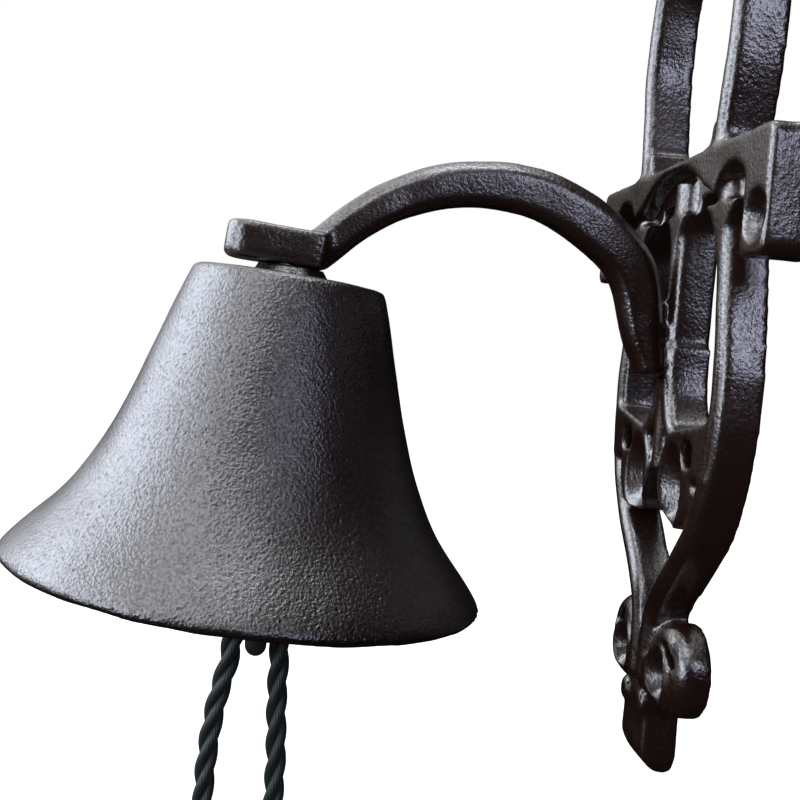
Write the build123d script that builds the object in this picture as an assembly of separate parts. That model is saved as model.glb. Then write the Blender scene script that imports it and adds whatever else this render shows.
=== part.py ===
from build123d import *
import math
import os

# Cast iron wall bell on a scrolled wall bracket, with a free clapper and a pull rope.
# Millimetres, Z up. The wall is the plane Y = 0 and the front faces -Y. X = 0 is the mid plane.
# The origin lies on the wall face, midway between the two screw holes.

# Bell, a flared casting that is thicker at its lip
rim_diameter = 109.6
crown_diameter = 43.6
bell_height = 70.0
bell_wall = 3.2
lip_thickness = 4.6
lip_round = 1.6
crown_thickness = 4.0
crown_edge_radius = 2.0
boss_diameter = 16.0
boss_height = 2.4
boss_fillet = 1.1
waist_level_ratio = 0.40
waist_flare_ratio = 0.268
shoulder_level_ratio = 0.80
shoulder_flare_ratio = 0.685

# Place of the bell: its crown hangs below the screw holes, and its mouth leans out from the wall
bell_reach = 98.4
bell_drop = 16.8
bell_tilt = 4.4

# Arm and pad, cast with the bracket
arm_width = 9.6
arm_top_bevel = 2.5
arm_bottom_bevel = 1.6
arm_thickness = 10.8
arm_crest_level = 13.6
arm_crest_reach = 57.0
arm_root_reach = 12.6
arm_root_bottom = -32.0
# Course of the arm's middle line, as ratios of its run and its rise from crest to pad and from crest to root
arm_outer_course = [(1.07, -0.06), (0.757, 0.46), (0.486, 0.77)]
arm_inner_course = [(0.602, 0.95), (0.345, 0.80), (0.19, 0.655), (0.095, 0.425), (0.05, 0.19)]
# Thickness of the arm along its length, as ratios of the length and of the thickness
arm_swell = [(0, 0.84), (0.42, 1.0), (0.7, 1.08), (0.85, 0.96), (1, 0.62)]
pad_width = 15.0
pad_thickness = 8.5
pad_overhang = 15.8
pad_inner_run = 7.0
pad_corner_radius = 5.0
pad_edge_radius = 1.3

# Bars of the bracket: flat back, straight sides, rounded front
bar_width = 7.4
bar_depth = 10.0
bar_crown = 1.6
bar_draft = 0.7
upper_bar_depth = 11.6
upper_bar_width = 6.6
stem_width = 8.6

# Crossbar with its two screw lugs
crossbar_half_length = 56.5
crossbar_top = 17.5
crossbar_height = 8.2
crossbar_depth = 12.0
crossbar_recess = 6.5
middle_arch_half_width = 21.5
middle_arch_rise = 6.0
outer_arch_rise = 4.0
lug_width = 12.0
lug_bottom = -8.0
lug_corner_radius = 2.6
lip_cusp_drop = 2.4
lip_lug_drop = 1.2
screw_spacing = 101.6
screw_hole_diameter = 5.4
countersink_diameter = 10.0
countersink_depth = 4.0
flare_top_level = 5.6
flare_tip_level = -6.4
flare_half_width = 9.0
stem_flare_half_width = 6.6
flare_tip_half_width = 0.5

# Side bars and scrolls
side_bar_top_x = 27.8
side_bar_belly_x = 33.4
side_bar_belly_level = -42.0
side_bar_hip_x = 26.2
side_bar_hip_level = -63.6
side_bar_foot_x = 8.1
side_bar_foot_level = -82.2
mid_scroll_x = 14.6
mid_scroll_level = -55.0
mid_scroll_radius = 11.2
low_scroll_x = 14.6
low_scroll_level = -98.2
low_scroll_radius = 10.8
mid_scroll_edge_radius = 0.9
low_scroll_depth = 8.6
low_scroll_edge_radius = 4.6
low_lobe_rise = 0.9
low_notch_start = 28.0
low_notch_turn = 62.0
tongue_half_width = 8.2
tongue_tip_level = -127.4
tongue_depth = 8.8
tongue_shoulder_level = -119.0
tongue_neck_half_width = 4.0
tongue_waist_half_width = 7.6
tongue_round_rise = 9.0
nub_radius = 2.6

# Upper hoop
hoop_foot_x = 24.2
hoop_belly_x = 28.4
hoop_belly_level = 50.0
hoop_top_level = 88.0
hoop_root_half_width = 5.6
hoop_root_rise = 6.0

# Eye bolt, screwed up through the bell's crown into the pad
bolt_diameter = 6.0
bolt_engagement = 6.2
bolt_hole_depth = 6.8
thread_clearance = 0.05
crown_hole_clearance = 0.5
washer_diameter = 16.0
washer_thickness = 1.2
washer_clearance = 0.3
collar_diameter = 11.0
collar_thickness = 2.0
eye_wire = 3.5
eye_hole_radius = 3.0

# Link between the eye bolt and the clapper
link_wire = 2.5
link_centres = 4.8
link_clearance = 0.3

# Clapper
clapper_eye_wire = 3.5
clapper_rod_diameter = 5.6
clapper_ball_diameter = 26.0
clapper_ball_drop = 40.0
tail_wire = 5.0
tail_hole_diameter = 6.2
tail_end_drop = 70.2
tail_rod_diameter = 5.0

# Pull rope, looped through the clapper's tail and knotted below
rope_diameter = 5.0
rope_seat_clearance = 0.5
rope_strand_gap = 0.5
knot_diameter = 15.0
knot_height = 15.0
rope_tail_length = 14.0
rope_tail_spread = 12.0

os.makedirs("parts", exist_ok=True)


def at_wall(x, z):
    """Point on the wall face."""
    return Vector(x, 0, z)


def both_sides(solid):
    """The solid and its mirror image across the mid plane."""
    return solid + mirror(solid, about=Plane.YZ)


def bar(path, width, depth, crown):
    """Bar of the bracket: flat back on the wall, sides that taper to the front and a rounded front."""
    section_plane = Plane(origin=path @ 0, x_dir=(0, -1, 0), z_dir=path % 0)
    half = width / 2
    front_half = half - bar_draft
    side = depth - crown
    outline = Polyline((side, front_half), (0, half), (0, -half), (side, -front_half))
    front = ThreePointArc((side, -front_half), (depth, 0), (side, front_half))
    section = section_plane * make_face(outline + front)
    return sweep(section, path=path)


def plate(face, depth):
    """Flat outline on the wall face, drawn in X and Z, raised to a depth."""
    return extrude(Plane.XZ * face, amount=depth)


# Bell, drawn in its own frame: axis on Z, crown's top face at zero
rim_radius = rim_diameter / 2
crown_radius = crown_diameter / 2
flare = rim_radius - crown_radius
lip_centre_level = lip_round - bell_height
wall_run = bell_wall * 1.12


def outer_radius(share):
    return crown_radius + flare * share


def bell_shell():
    outer = Spline(
        (crown_radius, 0),
        (outer_radius(waist_flare_ratio), -bell_height * waist_level_ratio),
        (outer_radius(shoulder_flare_ratio), -bell_height * shoulder_level_ratio),
        (rim_radius, lip_centre_level),
        tangents=[(0.36, -1), (0.62, -1)],
    )
    lip = ThreePointArc(
        (rim_radius, lip_centre_level),
        (rim_radius - 0.42 * lip_thickness, -bell_height),
        (rim_radius - lip_thickness, lip_centre_level),
    )
    inner = Spline(
        (rim_radius - lip_thickness, lip_centre_level),
        (outer_radius(shoulder_flare_ratio) - wall_run, -bell_height * shoulder_level_ratio),
        (outer_radius(waist_flare_ratio) - wall_run, -bell_height * waist_level_ratio),
        (crown_radius + 0.36 * crown_thickness - wall_run, -crown_thickness),
        tangents=[(-0.62, 1), (-0.36, 1)],
    )
    roof = Polyline(
        (crown_radius + 0.36 * crown_thickness - wall_run, -crown_thickness),
        (0, -crown_thickness),
        (0, 0),
        (crown_radius, 0),
    )
    shell = revolve(Plane.XZ * make_face(outer + lip + inner + roof), Axis.Z)
    crown_edge = shell.edges().filter_by(GeomType.CIRCLE).filter_by(
        lambda e: abs(e.radius - crown_radius) < 0.01 and abs(e.center().Z) < 0.01
    )
    shell = fillet(crown_edge, crown_edge_radius)
    boss = Pos(0, 0, boss_height / 2) * Cylinder(boss_diameter / 2, boss_height)
    shell = shell + boss
    boss_foot = shell.edges().filter_by(GeomType.CIRCLE).filter_by(
        lambda e: abs(e.radius - boss_diameter / 2) < 0.01 and abs(e.center().Z) < 0.01
    )
    shell = fillet(boss_foot, boss_fillet)
    bolt_way = Cylinder(bolt_diameter / 2 + crown_hole_clearance, 4 * (crown_thickness + boss_height))
    return shell - bolt_way


bell_place = Location((0, -bell_reach, -bell_drop), (-bell_tilt, 0, 0))
bell = bell_place * bell_shell()


# Eye bolt and its washer, drawn in the bell's frame
def ring(radius, wire):
    """Ring of round wire, its hole along Y."""
    return Rot(90, 0, 0) * Torus(radius, wire / 2)


washer_top = -crown_thickness
collar_top = washer_top - washer_thickness
collar_bottom = collar_top - collar_thickness
eye_radius = eye_hole_radius + eye_wire / 2
eye_level = collar_bottom - eye_radius - eye_wire / 4
shank_top = boss_height + bolt_engagement
shank_length = shank_top - collar_bottom

washer_face = Circle(washer_diameter / 2) - Circle(bolt_diameter / 2 + washer_clearance)
washer = Pos(0, 0, collar_top) * extrude(washer_face, amount=washer_thickness)
shank = Pos(0, 0, collar_bottom + shank_length / 2) * Cylinder(bolt_diameter / 2, shank_length)
collar = Pos(0, 0, (collar_top + collar_bottom) / 2) * Cylinder(collar_diameter / 2, collar_thickness)
eye_bolt = shank + collar + Pos(0, 0, eye_level) * ring(eye_radius, eye_wire)
shank_end = eye_bolt.edges().filter_by(GeomType.CIRCLE).sort_by(Axis.Z)[-1]
eye_bolt = bell_place * chamfer(shank_end, 0.6)
crown_washer = bell_place * washer

# Link, hanging plumb in the eye: the wire of the eye passes through its upper bend
tilt = math.radians(bell_tilt)
pivot_drop = eye_level - eye_radius
link_pivot = Vector(
    0,
    -bell_reach + pivot_drop * math.sin(tilt),
    -bell_drop + pivot_drop * math.cos(tilt),
)
upper_bend = eye_wire / 2 + link_clearance + link_wire / 2
lower_bend = clapper_eye_wire / 2 + link_clearance + link_wire / 2
clapper_pivot = link_pivot - Vector(0, 0, link_centres + lower_bend)


def link_ring():
    """Long link in the YZ plane, drawn round the two bends' centres."""
    top = link_pivot
    bottom = link_pivot - Vector(0, 0, link_centres)
    bends = [(top, upper_bend, 1), (bottom, lower_bend, -1)]
    arcs = [
        ThreePointArc(
            centre + Vector(0, -radius, 0),
            centre + Vector(0, 0, way * radius),
            centre + Vector(0, radius, 0),
        )
        for centre, radius, way in bends
    ]
    front = Line(bottom + Vector(0, -lower_bend, 0), top + Vector(0, -upper_bend, 0))
    back = Line(top + Vector(0, upper_bend, 0), bottom + Vector(0, lower_bend, 0))
    path = Wire([front.edge(), arcs[0].edge(), back.edge(), arcs[1].edge()])
    section = Plane(origin=path @ 0, z_dir=path % 0) * Circle(link_wire / 2)
    return sweep(section, path=path)


hanging_link = link_ring()

# Clapper: an eye on the link, a rod, a ball and a tail with an eye for the rope, cast in one
ball_centre = clapper_pivot - Vector(0, 0, clapper_ball_drop - (link_pivot.Z - clapper_pivot.Z))
tail_radius = tail_hole_diameter / 2 + tail_wire / 2
tail_seat = Vector(0, link_pivot.Y, link_pivot.Z - tail_end_drop + tail_wire / 2)
tail_centre = tail_seat + Vector(0, 0, tail_radius)


def rod(top, bottom, top_diameter, bottom_diameter):
    """Tapered round rod that hangs between two points on one plumb line."""
    length = top.Z - bottom.Z
    middle = (top + bottom) * 0.5
    return Pos(middle) * Cone(bottom_diameter / 2, top_diameter / 2, length)


clapper_eye_radius = link_wire / 2 + link_clearance + clapper_eye_wire / 2
rod_top = clapper_pivot - Vector(0, 0, clapper_eye_radius)
tail_top = tail_centre + Vector(0, 0, tail_radius)
clapper = (
    Pos(clapper_pivot) * ring(clapper_eye_radius, clapper_eye_wire)
    + rod(rod_top, ball_centre, clapper_eye_wire, clapper_rod_diameter)
    + Pos(ball_centre) * Sphere(clapper_ball_diameter / 2)
    + rod(ball_centre, tail_top, clapper_rod_diameter, tail_rod_diameter)
    + Pos(tail_centre) * ring(tail_radius, tail_wire)
)

# Pull rope: over the lower bend of the tail's eye, two strands that bow apart, and a knot
seat_radius = tail_wire / 2 + rope_seat_clearance + rope_diameter / 2
strand_half_gap = (rope_diameter + rope_strand_gap) / 2
corner_step = seat_radius * math.tan(math.radians(22.5))
outer_strand = [
    (-strand_half_gap, -84),
    (-strand_half_gap, -75),
    (-6.0, -60),
    (-9.6, -42),
    (-9.4, -26),
    (-8.0, -13),
    (-seat_radius - 0.2, -4),
]
over_eye = [
    (-seat_radius, corner_step),
    (-corner_step, seat_radius),
    (corner_step, seat_radius),
    (seat_radius, corner_step),
]
inner_strand = [
    (seat_radius + 0.1, -4),
    (5.8, -14),
    (6.9, -29),
    (6.6, -45),
    (4.2, -60),
    (strand_half_gap, -75),
    (strand_half_gap, -84),
]
rope_route = [tail_seat + Vector(0, y, z) for y, z in outer_strand + over_eye + inner_strand]


def bend_radii(route):
    """Largest even arc at each corner of a route, within 0.45 of its shorter run."""
    radii = []
    for before, corner, after in zip(route, route[1:], route[2:]):
        turn = (corner - before).get_angle(after - corner)
        shorter = min((corner - before).length, (after - corner).length)
        radii.append(0.45 * shorter / math.tan(math.radians(turn / 2)))
    return radii


rope_radii = bend_radii(rope_route)
rope_path = FilletPolyline(*rope_route, radius=rope_radii)
rope_section = Plane(origin=rope_path @ 0, z_dir=rope_path % 0) * Circle(rope_diameter / 2)
pull_rope = sweep(rope_section, path=rope_path)

knot_top = tail_seat + Vector(0, 0, outer_strand[0][1])
knot_body = Pos(knot_top - Vector(0, 0, knot_height / 2)) * Cylinder(knot_diameter / 2, knot_height)
knot_body = fillet(knot_body.edges().filter_by(GeomType.CIRCLE), knot_diameter * 0.16)
knot_bottom = knot_top - Vector(0, 0, knot_height)


def rope_end(way):
    """Short end of the rope below the knot, leaning to one side."""
    start = knot_bottom + Vector(0, way * strand_half_gap, rope_diameter / 2)
    spread = math.radians(rope_tail_spread)
    lean = Vector(0, way * math.sin(spread), -math.cos(spread))
    face = Plane(origin=start, z_dir=lean) * Circle(rope_diameter / 2)
    return extrude(face, amount=rope_tail_length + rope_diameter / 2)


rope_knot = knot_body + rope_end(-1) + rope_end(1)


# Bracket: crossbar with screw lugs
def crossbar():
    """Beam with a lug at each end; its front is a thin lip, arched between the bars, over a recess."""
    low = crossbar_top - crossbar_height
    lug_inner = crossbar_half_length - lug_width
    shelf_place = Pos(0, crossbar_top - crossbar_height / 2)
    shelf = shelf_place * Rectangle(2 * crossbar_half_length, crossbar_height)
    back = plate(shelf, crossbar_recess)
    crown = (0, low + middle_arch_rise)
    haunch = (0.6 * middle_arch_half_width, low + 0.72 * middle_arch_rise)
    shoulder = (middle_arch_half_width, low)
    cusp = (side_bar_top_x, low - lip_cusp_drop)
    outer_crown = ((side_bar_top_x + lug_inner) / 2, low + outer_arch_rise - lip_lug_drop)
    lug_foot = (lug_inner, low - lip_lug_drop)
    low_right = [
        ThreePointArc(crown, haunch, shoulder),
        Line(shoulder, cusp),
        ThreePointArc(cusp, outer_crown, lug_foot),
        Line(lug_foot, (lug_inner, crossbar_top)),
    ]
    rim = Polyline((lug_inner, crossbar_top), (0, crossbar_top), crown)
    half = make_face(Wire([*[e.edge() for e in low_right], *rim.edges()]))
    lip = both_sides(plate(half, crossbar_depth))
    lug_place = Pos(crossbar_half_length - lug_width / 2, (crossbar_top + lug_bottom) / 2)
    lug_outline = lug_place * Rectangle(lug_width, crossbar_top - lug_bottom)
    lug = plate(fillet(lug_outline.vertices(), lug_corner_radius), crossbar_depth)
    return back + lip + both_sides(lug)


def screw_hole(x):
    """Countersunk hole, its mouth on the front of the lug."""
    through = Rot(90, 0, 0) * Cylinder(screw_hole_diameter / 2, 4 * crossbar_depth)
    sink = Rot(90, 0, 0) * Cone(screw_hole_diameter / 2, countersink_diameter / 2, countersink_depth)
    return Pos(x, 0, 0) * (through + Pos(0, countersink_depth / 2 - crossbar_depth, 0) * sink)


def flare_web(x, half_width, depth):
    """Web that spreads a bar below the crossbar: level top, hollow sides and a pointed foot."""
    knee_level = flare_top_level - 0.4 * (flare_top_level - flare_tip_level)
    right = [
        (half_width, flare_top_level),
        (0.45 * half_width, knee_level),
        (flare_tip_half_width, flare_tip_level),
    ]
    left = [(-across, level) for across, level in reversed(right)]
    outline = (
        Line(left[-1], right[0])
        + ThreePointArc(*right)
        + Line(right[-1], left[0])
        + ThreePointArc(*left)
    )
    web = plate(Pos(x, 0) * make_face(outline), depth)
    neck_height = crossbar_top - crossbar_height / 2 - flare_top_level
    neck = Pos(x, flare_top_level + neck_height / 2) * Rectangle(2 * half_width, neck_height)
    return web + plate(neck, crossbar_recess)


def side_bar():
    """Side bar from the crossbar down to the foot, where it meets its twin."""
    start = at_wall(side_bar_top_x, crossbar_top - crossbar_height / 2)
    path = Spline(
        start,
        at_wall(side_bar_belly_x, side_bar_belly_level),
        at_wall(side_bar_hip_x, side_bar_hip_level),
        at_wall(side_bar_foot_x, side_bar_foot_level),
        at_wall(bar_width * 0.42, low_scroll_level - 6),
        tangents=[(0.04, 0, -1), (0, 0, -1)],
    )
    return bar(path, bar_width, bar_depth, bar_crown)


def mid_scroll():
    """Middle volute: a flat round eye that joins the side bar over an open notch."""
    disc = plate(Pos(mid_scroll_x, mid_scroll_level) * Circle(mid_scroll_radius), bar_depth)
    rim = disc.faces().sort_by(Axis.Y)[0].edges()
    disc = fillet(rim, mid_scroll_edge_radius)
    bridge_outline = Polyline(
        (mid_scroll_x, mid_scroll_level + mid_scroll_radius),
        (side_bar_belly_x - 1, mid_scroll_level + 1.25 * mid_scroll_radius),
        (side_bar_belly_x, mid_scroll_level + 0.1 * mid_scroll_radius),
        (mid_scroll_x + 0.8 * mid_scroll_radius, mid_scroll_level + 0.1 * mid_scroll_radius),
        (mid_scroll_x, mid_scroll_level),
        close=True,
    )
    bridge = plate(make_face(bridge_outline), bar_depth)
    return disc + bridge


def mid_notch():
    """Opening between the eye of the middle volute and its band."""
    outline = Polyline(
        (mid_scroll_x + 0.44 * mid_scroll_radius, mid_scroll_level + 0.86 * mid_scroll_radius),
        (mid_scroll_x + 0.25 * mid_scroll_radius, mid_scroll_level + 0.52 * mid_scroll_radius),
        (mid_scroll_x + 0.48 * mid_scroll_radius, mid_scroll_level + 0.32 * mid_scroll_radius),
        (mid_scroll_x + 0.94 * mid_scroll_radius, mid_scroll_level + 0.30 * mid_scroll_radius),
        (mid_scroll_x + 0.86 * mid_scroll_radius, mid_scroll_level + 0.76 * mid_scroll_radius),
        close=True,
    )
    face = make_face(outline)
    return plate(fillet(face.vertices(), 0.12 * mid_scroll_radius), 3 * bar_depth)


def low_scroll():
    """Lower volute: a domed band round a flat lobe, which stands a little proud."""
    disc = plate(Pos(low_scroll_x, low_scroll_level) * Circle(low_scroll_radius), low_scroll_depth)
    rim = disc.faces().sort_by(Axis.Y)[0].edges()
    disc = fillet(rim, low_scroll_edge_radius)
    lobe_place = Pos(low_scroll_x - 0.15 * low_scroll_radius, low_scroll_level - 0.2 * low_scroll_radius)
    lobe = lobe_place * Ellipse(0.66 * low_scroll_radius, 0.56 * low_scroll_radius)
    return disc + plate(lobe, low_scroll_depth + low_lobe_rise)


def low_notch():
    """Opening above the lobe of the lower volute."""
    centre = (low_scroll_x, low_scroll_level - 0.15 * low_scroll_radius)
    path = CenterArc(centre, 0.64 * low_scroll_radius, low_notch_start, low_notch_turn)
    return plate(trace(path, 0.24 * low_scroll_radius), 3 * bar_depth)


def horn():
    """Band that leaves the stem and turns over the middle scroll."""
    path = Spline(
        at_wall(stem_width * 0.22, mid_scroll_level + 30),
        at_wall(stem_width * 0.5, mid_scroll_level + 15),
        at_wall(mid_scroll_x, mid_scroll_level + mid_scroll_radius - bar_width * 0.45),
        tangents=[(0, 0, -1), (1, 0, 0)],
    )
    return bar(path, bar_width * 0.9, bar_depth, bar_crown)


def hoop():
    """Hoop above the crossbar, one bar bent up, in and over, with a spread root at each foot."""
    foot = crossbar_top - crossbar_height / 2
    right = [
        (hoop_foot_x, foot),
        (hoop_belly_x, hoop_belly_level),
        (0.74 * hoop_belly_x, 0.34 * hoop_belly_level + 0.66 * hoop_top_level),
    ]
    left = [(-x, z) for x, z in reversed(right)]
    middle = [(0, hoop_top_level - upper_bar_width / 2)]
    points = [at_wall(x, z) for x, z in right + middle + left]
    path = Spline(*points, tangents=[(0.16, 0, 1), (0.16, 0, -1)])
    base = crossbar_top - crossbar_height / 4
    half = upper_bar_width / 2
    right_side = [
        (hoop_root_half_width, base),
        (1.27 * half, crossbar_top + 0.3 * hoop_root_rise),
        (half, crossbar_top + hoop_root_rise),
    ]
    left_side = [(-across, level) for across, level in reversed(right_side)]
    outline = (
        Line(left_side[-1], right_side[0])
        + ThreePointArc(*right_side)
        + Line(right_side[-1], left_side[0])
        + ThreePointArc(*left_side)
    )
    root = plate(Pos(hoop_foot_x, 0) * make_face(outline), 0.93 * upper_bar_depth)
    return bar(path, upper_bar_width, upper_bar_depth, bar_crown) + both_sides(root)


def stem():
    """Centre stem from the crossbar down to the middle scrolls."""
    top = crossbar_top - crossbar_height / 2
    line = Line(at_wall(0, mid_scroll_level), at_wall(0, top))
    return bar(line, stem_width, bar_depth, bar_crown)


def foot_tongue():
    """Rounded tongue below the lower scrolls, its underside slanting back to the wall."""
    root = low_scroll_level + 0.56 * low_scroll_radius
    right = [
        (tongue_neck_half_width, root),
        (tongue_waist_half_width, low_scroll_level - 0.74 * low_scroll_radius),
        (tongue_half_width, tongue_tip_level + tongue_round_rise),
    ]
    left = [(-across, level) for across, level in reversed(right)]
    outline = make_face(
        Line(left[-1], right[0])
        + ThreePointArc(*right)
        + ThreePointArc(right[-1], (0, tongue_tip_level), left[0])
        + ThreePointArc(*left)
    )
    slant = ThreePointArc(
        (0.0, tongue_tip_level),
        (-0.7 * tongue_depth, tongue_tip_level + 0.36 * (tongue_shoulder_level - tongue_tip_level)),
        (-tongue_depth, tongue_shoulder_level),
    )
    front_and_back = Polyline(
        (-tongue_depth, tongue_shoulder_level),
        (-tongue_depth, root),
        (0, root),
        (0, tongue_tip_level),
    )
    side = make_face(slant + front_and_back)
    profile = extrude(Plane.YZ * side, amount=2 * tongue_half_width, both=True)
    return plate(outline, tongue_depth) & profile


# Arm: a bevelled bar that rises from the stem, crests and drops to the pad
def arm():
    """Bevelled bar, thickest near its root, swept along its middle line in the YZ plane."""
    crest = arm_crest_level - arm_thickness / 2
    pad_middle = -bell_drop + boss_height + pad_thickness / 2
    outer_run = bell_reach - pad_inner_run - arm_crest_reach
    inner_run = arm_crest_reach - arm_root_reach
    outer = [
        (-arm_crest_reach - run * outer_run, pad_middle + rise * (crest - pad_middle))
        for run, rise in arm_outer_course
    ]
    inner = [
        (-arm_root_reach - run * inner_run, arm_root_bottom + rise * (crest - arm_root_bottom))
        for run, rise in arm_inner_course
    ]
    middle_line = outer + [(-arm_crest_reach, crest)] + inner + [(-arm_root_reach, arm_root_bottom)]
    path = Spline(*[Vector(0, y, z) for y, z in middle_line], tangents=[(0, 0.76, 0.65), (0, 0.2, -1)])
    half = arm_width / 2
    sections = []
    for share, swell in arm_swell:
        deep = arm_thickness * swell / 2
        upper = [(-half, arm_top_bevel - deep), (arm_top_bevel - half, -deep)]
        lower = [(half, deep - arm_bottom_bevel), (half - arm_bottom_bevel, deep)]
        outline = upper + [(-x, level) for x, level in reversed(upper)]
        outline += lower + [(-x, level) for x, level in reversed(lower)]
        place = Plane(origin=path @ share, x_dir=(1, 0, 0), z_dir=path % share)
        sections.append(place * make_face(Polyline(*outline, close=True)))
    return sweep(sections, path=path, multisection=True)


def pad():
    """Flat end of the arm, square to the bell's axis, with the bolt's blind hole from below."""
    length = pad_overhang + pad_inner_run
    middle = (pad_inner_run - pad_overhang) / 2
    outline = Pos(0, middle) * Rectangle(pad_width, length)
    outer_corners = outline.vertices().group_by(Axis.Y)[0]
    outline = fillet(outer_corners, pad_corner_radius)
    body = Pos(0, 0, boss_height) * extrude(outline, amount=pad_thickness)
    rims = body.faces().filter_by(Axis.Z).edges()
    body = fillet(rims, pad_edge_radius)
    return bell_place * body


def bolt_hole():
    """Blind hole for the eye bolt, up from the pad's underside."""
    radius = bolt_diameter / 2 + thread_clearance
    blind_end = boss_height + bolt_hole_depth
    return bell_place * Pos(0, 0, blind_end - bolt_hole_depth / 2 - 1) * Cylinder(radius, bolt_hole_depth + 2)


nub_place = Pos(0.7 * tongue_half_width, low_scroll_level - low_scroll_radius)
nub = plate(nub_place * Circle(nub_radius), bar_depth)

wall_bracket = crossbar() + hoop() + stem() + foot_tongue()
wall_bracket += both_sides(side_bar() + mid_scroll() + low_scroll() + horn() + nub)
wall_bracket += flare_web(0, stem_flare_half_width, bar_depth)
wall_bracket += both_sides(flare_web(side_bar_top_x, flare_half_width, bar_depth))
wall_bracket += arm() + pad()
wall_bracket -= both_sides(mid_notch() + low_notch())
wall_bracket -= screw_hole(screw_spacing / 2) + screw_hole(-screw_spacing / 2)
wall_bracket -= bolt_hole()

nodes = {
    "wall_bracket": wall_bracket,
    "bell": bell,
    "eye_bolt": eye_bolt,
    "crown_washer": crown_washer,
    "hanging_link": hanging_link,
    "clapper": clapper,
    "pull_rope": pull_rope,
    "rope_knot": rope_knot,
}

for name, solid in nodes.items():
    export_step(solid, "parts/" + name + ".step")

section_area = math.pi * rope_diameter ** 2 / 4
print("link pivot", link_pivot, "clapper pivot", clapper_pivot, "ball centre", ball_centre)
print("rope length", round(rope_path.length, 1), "of tube volume / section",
      round(pull_rope.volume / section_area, 1))
print("rope radii", [round(radius, 1) for radius in rope_radii])
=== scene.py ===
import bmesh
import bpy
import numpy as np
from mathutils import Matrix, Vector


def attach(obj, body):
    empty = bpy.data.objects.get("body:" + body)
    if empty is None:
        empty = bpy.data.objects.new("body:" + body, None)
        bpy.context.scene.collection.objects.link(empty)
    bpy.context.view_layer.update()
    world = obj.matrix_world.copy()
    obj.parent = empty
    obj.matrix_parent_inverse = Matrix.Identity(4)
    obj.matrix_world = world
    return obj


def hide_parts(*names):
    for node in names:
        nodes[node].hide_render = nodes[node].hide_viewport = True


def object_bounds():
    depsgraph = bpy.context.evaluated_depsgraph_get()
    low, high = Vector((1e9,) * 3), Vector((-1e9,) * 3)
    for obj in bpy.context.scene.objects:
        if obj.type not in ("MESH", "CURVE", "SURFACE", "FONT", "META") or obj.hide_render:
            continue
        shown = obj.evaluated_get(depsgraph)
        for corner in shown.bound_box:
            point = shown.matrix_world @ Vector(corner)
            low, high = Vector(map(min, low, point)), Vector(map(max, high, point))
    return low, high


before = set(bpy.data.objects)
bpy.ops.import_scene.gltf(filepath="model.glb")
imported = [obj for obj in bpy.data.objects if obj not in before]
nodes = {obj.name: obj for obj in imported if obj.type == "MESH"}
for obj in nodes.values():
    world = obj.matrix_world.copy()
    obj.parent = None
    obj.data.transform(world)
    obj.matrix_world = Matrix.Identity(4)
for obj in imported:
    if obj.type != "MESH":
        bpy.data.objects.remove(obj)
cad_low, cad_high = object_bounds()

# Camera. It stands a quarter of a metre to the right of the mid plane, a little below the bell's crown, and looks
# across the arm, with the bell on the left and the wall side on the right.
mm = 0.001
camera_place = Vector((254.82, -95.08, -30.18)) * mm
camera_right = Vector((0.089510, 0.992457, 0.083773))
camera_up = Vector((-0.056910, -0.078876, 0.995259))
camera_data = bpy.data.cameras.new("camera")
camera_data.sensor_width = 36
camera_data.lens = 49.74
camera_data.clip_start = 0.01
camera = bpy.data.objects.new("camera", camera_data)
camera_turn = Matrix((camera_right, camera_up, camera_right.cross(camera_up))).transposed()
camera.matrix_world = Matrix.Translation(camera_place) @ camera_turn.to_4x4()
bpy.context.scene.collection.objects.link(camera)
bpy.context.scene.camera = camera

# Pull rope. Soft-laid polypropylene cord of three strands, 5 mm thick, passed through the ring of the clapper's tail
# so that it hangs double, and closed by a knot below. It is nearly black, with a green cast where light grazes it.
rope_diameter = 5.0 * mm
rope_lay = 22.5 * mm
strands = 3
strand_offset = 1.22 * mm
strand_radius = 1.28 * mm
ring_points = 48
ring_step = 0.4 * mm
end_bulge = 0.25 * rope_diameter
tail_seat = np.array((0.0, -99.748, -102.023)) * mm
knot_drop = 84.0
# The rope's course from knot to knot in the mid plane: Y and Z in millimetres from the seat in the tail's ring
rope_route = [
    (-2.75, -knot_drop), (-2.75, -75.0), (-6.0, -60.0), (-9.6, -42.0), (-9.4, -26.0), (-8.0, -13.0), (-5.7, -4.0),
    (-5.5, 2.278), (-2.278, 5.5), (2.278, 5.5), (5.5, 2.278),
    (5.6, -4.0), (5.8, -14.0), (6.9, -29.0), (6.6, -45.0), (4.2, -60.0), (2.75, -75.0), (2.75, -knot_drop),
]


def smooth_line(points):
    """Points along the third-order NURBS curve that has the given points, in metres, as its control points."""
    curve = bpy.data.curves.new("line", "CURVE")
    curve.dimensions = "3D"
    curve.resolution_u = 24
    spline = curve.splines.new("NURBS")
    spline.points.add(len(points) - 1)
    for control, place in zip(spline.points, points):
        control.co = (*place, 1.0)
    spline.order_u = 3
    spline.use_endpoint_u = True
    holder = bpy.data.objects.new("line", curve)
    mesh = bpy.data.meshes.new_from_object(holder)
    line = np.zeros(len(mesh.vertices) * 3)
    mesh.vertices.foreach_get("co", line)
    bpy.data.meshes.remove(mesh)
    bpy.data.curves.remove(curve)
    return line.reshape(-1, 3)


def evenly_spaced(line, step):
    """The line again with its points one step apart, and each point's distance from the start."""
    runs = np.linalg.norm(np.diff(line, axis=0), axis=1)
    along = np.concatenate([[0.0], np.cumsum(runs)])
    distance = np.linspace(0.0, along[-1], int(along[-1] / step) + 2)
    return np.stack([np.interp(distance, along, line[:, k]) for k in range(3)], axis=1), distance


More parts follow.
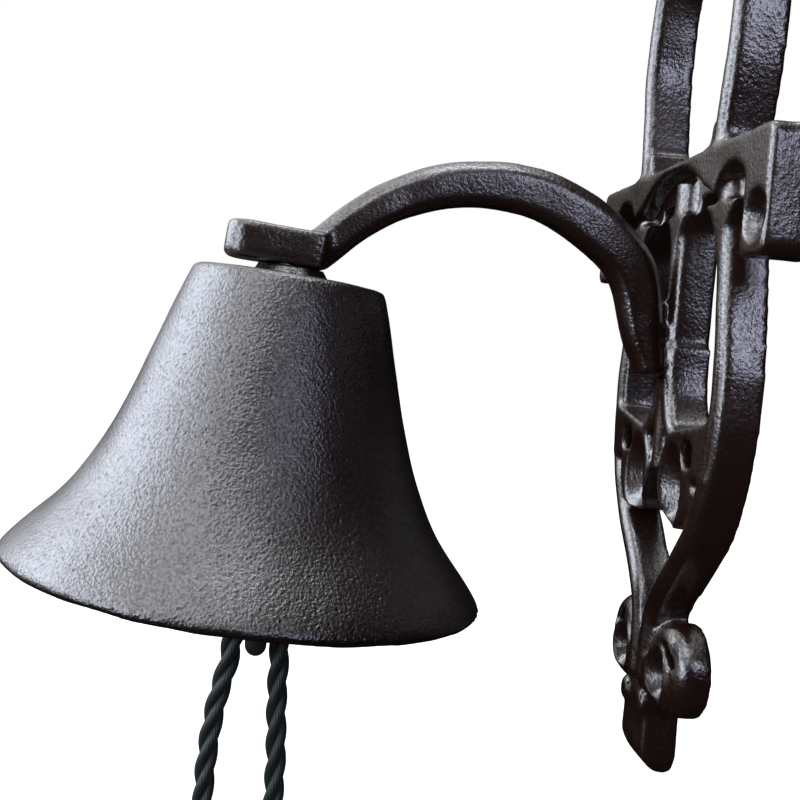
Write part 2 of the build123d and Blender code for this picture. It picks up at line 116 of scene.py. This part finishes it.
def laid_rope(line, side, start_turn=0.0):
    """Grid of a laid rope: round strands set on a circle give each ring's outline, which is the farthest reach of
    a strand at that angle, and the outline makes one right-hand turn per lay along the line. side is a direction
    across the line at each point. Returns points, faces and the UV of each face corner."""
    centre, distance = evenly_spaced(line, ring_step)
    tangent = np.gradient(centre, axis=0)
    tangent /= np.linalg.norm(tangent, axis=1)[:, None]
    across = side(centre)
    across = across - (across * tangent).sum(1)[:, None] * tangent
    across /= np.linalg.norm(across, axis=1)[:, None]
    upward = np.cross(tangent, across)
    turn = start_turn + distance / rope_lay
    column = np.arange(ring_points) / ring_points
    off_strand = (np.mod(column * strands + 0.5, 1.0) - 0.5) * 2 * np.pi / strands
    reach = strand_offset * np.cos(off_strand)
    reach = reach + np.sqrt(strand_radius**2 - (strand_offset * np.sin(off_strand)) ** 2)
    angle = 2 * np.pi * (column[None, :] + turn[:, None])
    ring = np.cos(angle)[..., None] * across[:, None, :] + np.sin(angle)[..., None] * upward[:, None, :]
    points = centre[:, None, :] + reach[None, :, None] * ring
    rings = len(centre)
    i, j = np.meshgrid(np.arange(rings - 1), np.arange(ring_points), indexing="ij")
    k = (j + 1) % ring_points
    quads = np.stack([i * ring_points + j, i * ring_points + k, (i + 1) * ring_points + k,
                      (i + 1) * ring_points + j], axis=-1).reshape(-1, 4)
    u = np.stack([j / ring_points + turn[i], (j + 1) / ring_points + turn[i],
                  (j + 1) / ring_points + turn[i + 1], j / ring_points + turn[i + 1]], axis=-1)
    v = np.stack([distance[i], distance[i], distance[i + 1], distance[i + 1]], axis=-1)
    quad_uv = np.stack([u, v], axis=-1).reshape(-1, 2)
    around = np.arange(ring_points)
    beside = (around + 1) % ring_points
    last = (rings - 1) * ring_points
    first_pole = rings * ring_points
    first_cap = np.stack([beside, around, np.full(ring_points, first_pole)], axis=1)
    last_cap = np.stack([last + around, last + beside, np.full(ring_points, first_pole + 1)], axis=1)
    cap_uv = np.zeros((6 * ring_points, 2))
    poles = np.stack([centre[0] - end_bulge * tangent[0], centre[-1] + end_bulge * tangent[-1]])
    vertices = np.concatenate([points.reshape(-1, 3), poles])
    return vertices, quads.tolist() + first_cap.tolist() + last_cap.tolist(), np.concatenate([quad_uv, cap_uv])


def add_piece(name, parts, material):
    """One object from several (points, faces, corner UVs), with smooth faces and one material."""
    vertices, faces, uvs, count = [], [], [], 0
    for points, part_faces, uv in parts:
        vertices.append(points)
        faces += [[count + index for index in face] for face in part_faces]
        uvs.append(uv)
        count += len(points)
    mesh = bpy.data.meshes.new(name)
    mesh.from_pydata(np.concatenate(vertices).tolist(), [], faces)
    mesh.uv_layers.new(name="UVMap").data.foreach_set("uv", np.concatenate(uvs).astype(np.float32).ravel())
    mesh.polygons.foreach_set("use_smooth", np.ones(len(mesh.polygons), bool))
    mesh.materials.append(material)
    piece = bpy.data.objects.new(name, mesh)
    bpy.context.scene.collection.objects.link(piece)
    return piece


def linear(colour):
    """Linear RGBA of an sRGB hex colour."""
    channels = np.array([int(colour[k:k + 2], 16) for k in (1, 3, 5)]) / 255
    channels = np.where(channels <= 0.04045, channels / 12.92, ((channels + 0.055) / 1.055) ** 2.4)
    return (*channels.tolist(), 1.0)


def add_node(material, kind, settings=None, inputs=None):
    """Adds a node; settings are its attributes, and each input is a value or the output socket linked to it."""
    node = material.node_tree.nodes.new(kind)
    for name, value in (settings or {}).items():
        setattr(node, name, value)
    for name, value in (inputs or {}).items():
        if isinstance(value, bpy.types.NodeSocket):
            material.node_tree.links.new(value, node.inputs[name])
        else:
            node.inputs[name].default_value = value
    return node


def new_material(name):
    """A material with an empty node tree."""
    material = bpy.data.materials.new(name)
    material.use_nodes = True
    material.node_tree.nodes.clear()
    return material


# Twisted polypropylene: smooth fibres with a soft gloss, bundled in yarns that lie along the rope on each strand.
yarns_around = 27
yarn_weight = 0.35
yarn_relief = 0.12 * mm
rope_finish = new_material("laid_polypropylene_black_green")
rope_uv = add_node(rope_finish, "ShaderNodeTexCoord").outputs["UV"]
rope_parts = add_node(rope_finish, "ShaderNodeSeparateXYZ", inputs={0: rope_uv})
yarn_angle = add_node(rope_finish, "ShaderNodeMath", {"operation": "MULTIPLY"},
                      {0: rope_parts.outputs["X"], 1: 2 * np.pi * yarns_around})
yarn_round = add_node(rope_finish, "ShaderNodeMath", {"operation": "SINE"}, {0: yarn_angle.outputs[0]})
rope_place = add_node(rope_finish, "ShaderNodeTexCoord").outputs["Object"]
fibre = add_node(rope_finish, "ShaderNodeTexNoise", {}, {"Vector": rope_place, "Scale": 2600.0, "Detail": 3.0})
wear = add_node(rope_finish, "ShaderNodeTexNoise", {}, {"Vector": rope_place, "Scale": 120.0, "Detail": 2.0})
yarn_height = add_node(rope_finish, "ShaderNodeMath", {"operation": "MULTIPLY_ADD"},
                       {0: yarn_round.outputs[0], 1: yarn_weight, 2: fibre.outputs[0]})
rope_bump = add_node(rope_finish, "ShaderNodeBump", {},
                     {"Height": yarn_height.outputs[0], "Distance": yarn_relief, "Strength": 0.8})
rope_colour = add_node(rope_finish, "ShaderNodeMix", {"data_type": "RGBA"},
                       {0: wear.outputs[0], 6: linear("#0a0e0d"), 7: linear("#15201d")})
rope_shader = add_node(rope_finish, "ShaderNodeBsdfPrincipled", {},
                       {"Base Color": rope_colour.outputs[2], "Roughness": 0.55, "Normal": rope_bump.outputs[0],
                        "Sheen Weight": 0.12, "Sheen Roughness": 0.4, "Sheen Tint": linear("#9fb8b2")})
add_node(rope_finish, "ShaderNodeOutputMaterial", {}, {"Surface": rope_shader.outputs[0]})

rope_controls = [(0.0, tail_seat[1] + y * mm, tail_seat[2] + z * mm) for y, z in rope_route]
rope_line = smooth_line(rope_controls)


def across_mid_plane(centre):
    """The X direction at every point, for a line that stays in the mid plane."""
    return np.tile((1.0, 0.0, 0.0), (len(centre), 1))


rope = add_piece("pull_rope_strands", [laid_rope(rope_line, across_mid_plane)], rope_finish)
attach(rope, "clapper")
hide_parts("pull_rope")

# Rope knot. It ties the two ends of the doubled rope: one end winds twice round the other, and both leave below, cut
# and melted. Its points are in millimetres from its top. The coil's reach from the knot's axis and its drop below the
# top are pairs of turns made and distance.
knot_top = tail_seat[2] - knot_drop * mm
coil_turns = 2.1
coil_points = 22
coil_start_turn = 0.2
coil_reach_by_turn = ((0.0, 3.4), (0.12, 4.9), (2.0, 4.9), (coil_turns, 4.4))
coil_drop_by_turn = ((0.0, 1.2), (0.15, 2.9), (2.0, 12.1), (coil_turns, 12.9))


def round_the_knot(centre):
    """The direction away from the knot's upright axis at every point."""
    out = centre - np.array((0.0, tail_seat[1], 0.0))
    out[:, 2] = 0.0
    return out / np.maximum(np.linalg.norm(out, axis=1), 1e-6)[:, None]


core_controls = [(0.0, -2.75, 1.5), (0.0, -2.4, -1.5), (0.0, -0.6, -4.5), (0.0, 0.0, -8.0), (0.0, -0.3, -11.0),
                 (0.0, -1.6, -14.5), (0.0, -3.1, -20.0), (0.0, -4.6, -26.5)]
coil_turn = np.linspace(0.0, coil_turns, coil_points)
coil_angle = np.pi / 2 + 2 * np.pi * coil_turn
coil_reach = np.interp(coil_turn, *zip(*coil_reach_by_turn))
coil_drop = np.interp(coil_turn, *zip(*coil_drop_by_turn))
coil_controls = [(0.0, 2.75, 2.0)]
coil_controls += list(zip(coil_reach * np.cos(coil_angle), coil_reach * np.sin(coil_angle), -coil_drop))
coil_controls += [(0.4, 3.4, -15.5), (0.2, 3.6, -20.0), (0.0, 4.9, -26.5)]
knot_place = np.array((0.0, tail_seat[1], knot_top))
core_line = smooth_line([knot_place + np.array(p) * mm for p in core_controls])
coil_line = smooth_line([knot_place + np.array(p) * mm for p in coil_controls])
knot = add_piece("rope_knot_turns",
                 [laid_rope(core_line, across_mid_plane), laid_rope(coil_line, round_the_knot, coil_start_turn)],
                 rope_finish)
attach(knot, "clapper")
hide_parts("rope_knot")


# Wall bracket. One grey iron casting, poured in a sand mould and fixed to the wall by a screw through each lug. The
# sand rounds every edge and leaves a pebbled skin, and a thin coat of black paint follows it.
mould_seed = 7
mould_waves = 9
shortest_wave = 9.0
longest_wave = 26.0
skin_sink = 0.4
hollow_bluntness = 0.25


def sand_cast_copy(node, name, grid, passes, swell, material, hollows=()):
    """Copy of a CAD node with the roundings of a sand casting. Its merged mesh is rebuilt on a grid of cubes, each
    point moves half way to the mean of its neighbours in each pass, and then along its normal by the mean of long
    plane waves times swell, less skin_sink of swell, for the unevenness of a hand-rammed mould. A hollow is a
    blunt cone over an ellipse in X and Z on the front, where a point sinks towards the wall by depth times
    (1 - r), with a rounded tip. Nothing passes the wall face at Y = 0."""
    mesh = nodes[node].data.copy()
    shell = bmesh.new()
    shell.from_mesh(mesh)
    bmesh.ops.remove_doubles(shell, verts=shell.verts, dist=1e-6)
    shell.to_mesh(mesh)
    shell.free()
    copy = bpy.data.objects.new(name, mesh)
    bpy.context.scene.collection.objects.link(copy)
    cubes = copy.modifiers.new("cubes", "REMESH")
    cubes.mode = "VOXEL"
    cubes.voxel_size = grid
    rounding = copy.modifiers.new("rounding", "SMOOTH")
    rounding.factor = 0.5
    rounding.iterations = passes
    soft = bpy.data.meshes.new_from_object(copy.evaluated_get(bpy.context.evaluated_depsgraph_get()))
    copy.modifiers.clear()
    copy.data = soft
    count = len(soft.vertices)
    points = np.zeros(count * 3)
    normals = np.zeros(count * 3)
    soft.vertices.foreach_get("co", points)
    soft.vertex_normals.foreach_get("vector", normals)
    points = points.reshape(-1, 3)
    random = np.random.default_rng(mould_seed)
    directions = random.normal(size=(mould_waves, 3))
    directions /= np.linalg.norm(directions, axis=1)[:, None]
    lengths = random.uniform(shortest_wave, longest_wave, mould_waves) * mm
    phases = random.uniform(0.0, 2 * np.pi, mould_waves)
    waves = np.sin(points @ (directions * (2 * np.pi / lengths)[:, None]).T + phases).sum(axis=1) / mould_waves
    points += (waves * swell - skin_sink * swell)[:, None] * normals.reshape(-1, 3)
    edge = np.sqrt(1.0 + hollow_bluntness**2)
    for x, front, z, half_width, half_height, depth in hollows:
        inside = ((points[:, 0] - x) / half_width) ** 2 + ((points[:, 2] - z) / half_height) ** 2
        slope = (edge - np.sqrt(inside + hollow_bluntness**2)) / (edge - hollow_bluntness)
        points[:, 1] += depth * np.clip(slope, 0.0, 1.0) * (points[:, 1] < front + depth)
    points[:, 1] = np.minimum(points[:, 1], 0.0)
    soft.vertices.foreach_set("co", points.ravel())
    soft.polygons.foreach_set("use_smooth", np.ones(len(soft.polygons), bool))
    soft.materials.clear()
    soft.materials.append(material)
    soft.update()
    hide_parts(node)
    return copy


# Black paint over sand-cast iron: the sand's grains show as a close pebble, 0.5 to 0.75 mm across, with a few deeper
# pits. The paint is nearly black with a brown cast. Its reflection is turned down in the pits and low spots of the
# pebble, which is painted shade, so its gloss breaks into glints.
sand_per_grain = 0.95
pits_per_grain = 0.5
pit_weight = 0.6
pit_power = 3.0
gloss_spread = 0.05
paint_ior = 1.6


def painted_cast_iron(name, dark, light, grain, relief, roughness):
    """Paint over sand-cast iron. grain is the spacing of the sand's grains and relief their depth, in metres."""
    iron = new_material(name)
    place = add_node(iron, "ShaderNodeTexCoord").outputs["Object"]
    sand = add_node(iron, "ShaderNodeTexNoise", {},
                    {"Vector": place, "Scale": sand_per_grain / grain, "Detail": 1.0, "Roughness": 0.6})
    pits = add_node(iron, "ShaderNodeTexVoronoi", {"feature": "F1"},
                    {"Vector": place, "Scale": pits_per_grain / grain})
    pit_side = add_node(iron, "ShaderNodeMapRange", {"interpolation_type": "SMOOTHSTEP"},
                        {"Value": pits.outputs["Distance"], "From Min": 0.05, "From Max": 0.45, "To Min": -1.0,
                         "To Max": 0.0})
    pit_random = add_node(iron, "ShaderNodeSeparateXYZ", inputs={0: pits.outputs["Color"]})
    pit_share = add_node(iron, "ShaderNodeMath", {"operation": "POWER"}, {0: pit_random.outputs["X"], 1: pit_power})
    pit_depth = add_node(iron, "ShaderNodeMath", {"operation": "MULTIPLY"},
                         {0: pit_side.outputs[0], 1: pit_share.outputs[0]})
    skin = add_node(iron, "ShaderNodeMath", {"operation": "MULTIPLY_ADD"},
                    {0: pit_depth.outputs[0], 1: pit_weight, 2: sand.outputs[0]})
    dents = add_node(iron, "ShaderNodeTexNoise", {}, {"Vector": place, "Scale": 260.0, "Detail": 2.0})
    dent_bump = add_node(iron, "ShaderNodeBump", {}, {"Height": dents.outputs[0], "Distance": 0.08 * mm,
                                                      "Strength": 1.0})
    bump = add_node(iron, "ShaderNodeBump", {}, {"Height": skin.outputs[0], "Distance": relief, "Strength": 1.0,
                                                 "Normal": dent_bump.outputs[0]})
    patches = add_node(iron, "ShaderNodeTexNoise", {}, {"Vector": place, "Scale": 45.0, "Detail": 4.0})
    colour = add_node(iron, "ShaderNodeMix", {"data_type": "RGBA"},
                      {0: patches.outputs[0], 6: linear(dark), 7: linear(light)})
    gloss = add_node(iron, "ShaderNodeMapRange", {},
                     {"Value": patches.outputs[0], "From Min": 0.3, "From Max": 0.7,
                      "To Min": roughness - gloss_spread, "To Max": roughness + gloss_spread})
    # Painted shade: the reflection is turned down where the skin is low, so the pits and low spots of the pebble look
    # shaded.
    pit_painted_shade = add_node(iron, "ShaderNodeMapRange", {"interpolation_type": "SMOOTHSTEP"},
                            {"Value": skin.outputs[0], "From Min": 0.30, "From Max": 0.62, "To Min": 0.6,
                             "To Max": 1.0})
    shader = add_node(iron, "ShaderNodeBsdfPrincipled", {},
                      {"Base Color": colour.outputs[2], "Roughness": gloss.outputs[0], "Normal": bump.outputs[0],
                       "IOR": paint_ior, "Specular IOR Level": pit_painted_shade.outputs[0]})
    add_node(iron, "ShaderNodeOutputMaterial", {}, {"Surface": shader.outputs[0]})
    return iron


bracket_iron = painted_cast_iron("bracket_sand_cast_iron_black_paint", "#150905", "#211009", 0.75 * mm, 0.09 * mm,
                                 0.26)
# Spoon-shaped hollows in the fronts of the middle and lower scrolls, in millimetres
spoon_hollows = [
    (side * x * mm, front * mm, z * mm, half_width * mm, half_height * mm, depth * mm)
    for side in (-1, 1)
    for x, front, z, half_width, half_height, depth in (
        (12.8, -10.0, -57.0, 7.2, 10.2, 6.4),
        (13.2, -9.5, -100.4, 5.8, 6.8, 5.2),
    )
]
bracket = sand_cast_copy("wall_bracket", "wall_bracket_casting", 0.65 * mm, 10, 0.25 * mm, bracket_iron,
                         spoon_hollows)
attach(bracket, "bracket")

# Bell. Cast mouth down in sand like the bracket, clamped under the pad by its eye bolt, and painted with it.
bell_iron = painted_cast_iron("bell_sand_cast_iron_black_paint", "#0f0504", "#180906", 0.62 * mm, 0.19 * mm, 0.33)
bell = sand_cast_copy("bell", "bell_casting", 1.0 * mm, 3, 0.2 * mm, bell_iron)
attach(bell, "bracket")

# Clapper. An eye, a rod, a ball and a tail that ends in a ring, cast in one, in a dark paint smoother than the bell's.
clapper_iron = painted_cast_iron("clapper_cast_iron_dark_paint", "#171313", "#242020", 0.5 * mm, 0.05 * mm, 0.45)
nodes["clapper"].data.materials.clear()
nodes["clapper"].data.materials.append(clapper_iron)

# Eye bolt, crown washer and hanging link. Bent and turned steel wire with a zinc coat, dull grey with a fine drawn
# grain, out of sight inside the bell.
zinc = new_material("zinc_plated_steel")
zinc_place = add_node(zinc, "ShaderNodeTexCoord").outputs["Object"]
zinc_spangle = add_node(zinc, "ShaderNodeTexNoise", {}, {"Vector": zinc_place, "Scale": 900.0, "Detail": 3.0})
zinc_colour = add_node(zinc, "ShaderNodeMix", {"data_type": "RGBA"},
                       {0: zinc_spangle.outputs[0], 6: linear("#8c8c88"), 7: linear("#b4b4b0")})
zinc_gloss = add_node(zinc, "ShaderNodeMapRange", {}, {"Value": zinc_spangle.outputs[0], "To Min": 0.3, "To Max": 0.5})
zinc_bump = add_node(zinc, "ShaderNodeBump", {}, {"Height": zinc_spangle.outputs[0], "Distance": 0.02 * mm})
zinc_shader = add_node(zinc, "ShaderNodeBsdfPrincipled", {},
                       {"Base Color": zinc_colour.outputs[2], "Metallic": 1.0, "Roughness": zinc_gloss.outputs[0],
                        "Normal": zinc_bump.outputs[0]})
add_node(zinc, "ShaderNodeOutputMaterial", {}, {"Surface": zinc_shader.outputs[0]})
for fitting in ("eye_bolt", "crown_washer", "hanging_link"):
    nodes[fitting].data.materials.clear()
    nodes[fitting].data.materials.append(zinc)

# Studio. A pale floor below the rope's knot that fades to white away from the object, a surround that reflections see
# bright above the open front and dark elsewhere, and five soft lamps.
floor_drop = 40 * mm
floor_level = cad_low.z - floor_drop
floor_size = 6.0
floor_paint = new_material("floor_matt_white")
ray = add_node(floor_paint, "ShaderNodeLightPath")
seen = add_node(floor_paint, "ShaderNodeMath", {"operation": "MAXIMUM"},
                {0: ray.outputs["Is Camera Ray"], 1: ray.outputs["Is Glossy Ray"]})
seen_all = add_node(floor_paint, "ShaderNodeMath", {"operation": "MAXIMUM"},
                    {0: seen.outputs[0], 1: ray.outputs["Is Transmission Ray"]})
floor_place = add_node(floor_paint, "ShaderNodeTexCoord").outputs["Object"]
away = add_node(floor_paint, "ShaderNodeVectorMath", {"operation": "LENGTH"}, {0: floor_place})
fade = add_node(floor_paint, "ShaderNodeMapRange", {"interpolation_type": "SMOOTHSTEP"},
                {"Value": away.outputs["Value"], "From Min": 0.30, "From Max": 0.62, "To Min": 0.45, "To Max": 1.0})
lift = add_node(floor_paint, "ShaderNodeMath", {"operation": "MULTIPLY"}, {0: seen_all.outputs[0], 1: fade.outputs[0]})
floor_diffuse = add_node(floor_paint, "ShaderNodeBsdfDiffuse", {}, {"Color": linear("#f4f4f4")})
floor_glow = add_node(floor_paint, "ShaderNodeEmission", {}, {"Color": linear("#ffffff"), "Strength": lift.outputs[0]})
floor_sum = add_node(floor_paint, "ShaderNodeAddShader", {}, {0: floor_diffuse.outputs[0], 1: floor_glow.outputs[0]})
add_node(floor_paint, "ShaderNodeOutputMaterial", {}, {"Surface": floor_sum.outputs[0]})
floor_mesh = bpy.data.meshes.new("floor")
floor_mesh.from_pydata([(-floor_size, -floor_size, floor_level), (floor_size, -floor_size, floor_level),
                        (floor_size, floor_size, floor_level), (-floor_size, floor_size, floor_level)],
                       [], [(0, 1, 2, 3)])
floor_mesh.materials.append(floor_paint)
floor = bpy.data.objects.new("floor", floor_mesh)
bpy.context.scene.collection.objects.link(floor)
floor.visible_glossy = False

bright_way = (-0.05, -0.6, 0.8)
fill_strength = 0.25
world = bpy.data.worlds.new("surround")
world.use_nodes = True
world.node_tree.nodes.clear()
sky_ray = add_node(world, "ShaderNodeLightPath")
sky_seen = add_node(world, "ShaderNodeMath", {"operation": "MAXIMUM"},
                    {0: sky_ray.outputs["Is Camera Ray"], 1: sky_ray.outputs["Is Transmission Ray"]})
sky_way = add_node(world, "ShaderNodeTexCoord").outputs["Generated"]
towards_light = add_node(world, "ShaderNodeVectorMath", {"operation": "DOT_PRODUCT"},
                         {0: sky_way, 1: bright_way})
open_side = add_node(world, "ShaderNodeMapRange", {"interpolation_type": "SMOOTHSTEP"},
                     {"Value": towards_light.outputs["Value"], "From Min": 0.28, "From Max": 0.84, "To Min": 0.002,
                      "To Max": 2.1})
sky_gloss = add_node(world, "ShaderNodeMath", {"operation": "MULTIPLY"},
                     {0: sky_ray.outputs["Is Glossy Ray"], 1: open_side.outputs[0]})
sky_not_gloss = add_node(world, "ShaderNodeMath", {"operation": "SUBTRACT"},
                         {0: 1.0, 1: sky_ray.outputs["Is Glossy Ray"]})
sky_fill = add_node(world, "ShaderNodeMath", {"operation": "MULTIPLY_ADD"},
                    {0: sky_not_gloss.outputs[0], 1: fill_strength, 2: sky_gloss.outputs[0]})
sky_strength = add_node(world, "ShaderNodeMath", {"operation": "MAXIMUM"},
                        {0: sky_fill.outputs[0], 1: sky_seen.outputs[0]})
sky = add_node(world, "ShaderNodeBackground", {}, {"Color": linear("#ffffff"), "Strength": sky_strength.outputs[0]})
add_node(world, "ShaderNodeOutputWorld", {}, {"Surface": sky.outputs[0]})
world.cycles.sampling_method = "NONE"
bpy.context.scene.world = world


def soft_lamp(name, place, aim, width, height, energy, colour):
    """A rectangular area lamp at a place, turned to face its aim."""
    data = bpy.data.lights.new(name, "AREA")
    data.shape = "RECTANGLE"
    data.size = width
    data.size_y = height
    data.energy = energy
    data.color = linear(colour)[:3]
    lamp = bpy.data.objects.new(name, data)
    lamp.location = place
    lamp.rotation_euler = (Vector(aim) - Vector(place)).to_track_quat("-Z", "Y").to_euler()
    bpy.context.scene.collection.objects.link(lamp)


# Each lamp's place and aim in metres, width and height, watts and colour
soft_lamp("lamp_left", (-0.16, -0.84, 0.34), (0.0, -0.08, -0.04), 0.9, 0.6, 8.5, "#dfeaff")
soft_lamp("lamp_top", (0.50, -0.36, 0.62), (0.0, -0.08, -0.04), 0.36, 0.36, 1.2, "#e0e6ff")
soft_lamp("lamp_over", (0.0, -0.05, 0.85), (0.0, -0.05, 0.0), 0.10, 0.46, 2.2, "#e6eeff")
soft_lamp("lamp_front", (0.75, 0.20, 0.25), (0.0, 0.0, 0.0), 0.22, 0.24, 1.1, "#dfe2ff")
soft_lamp("lamp_level", (0.52, -0.72, 0.02), (0.0, 0.0, -0.03), 0.45, 0.40, 3.2, "#e6eeff")

bpy.context.scene.view_settings.view_transform = "Standard"
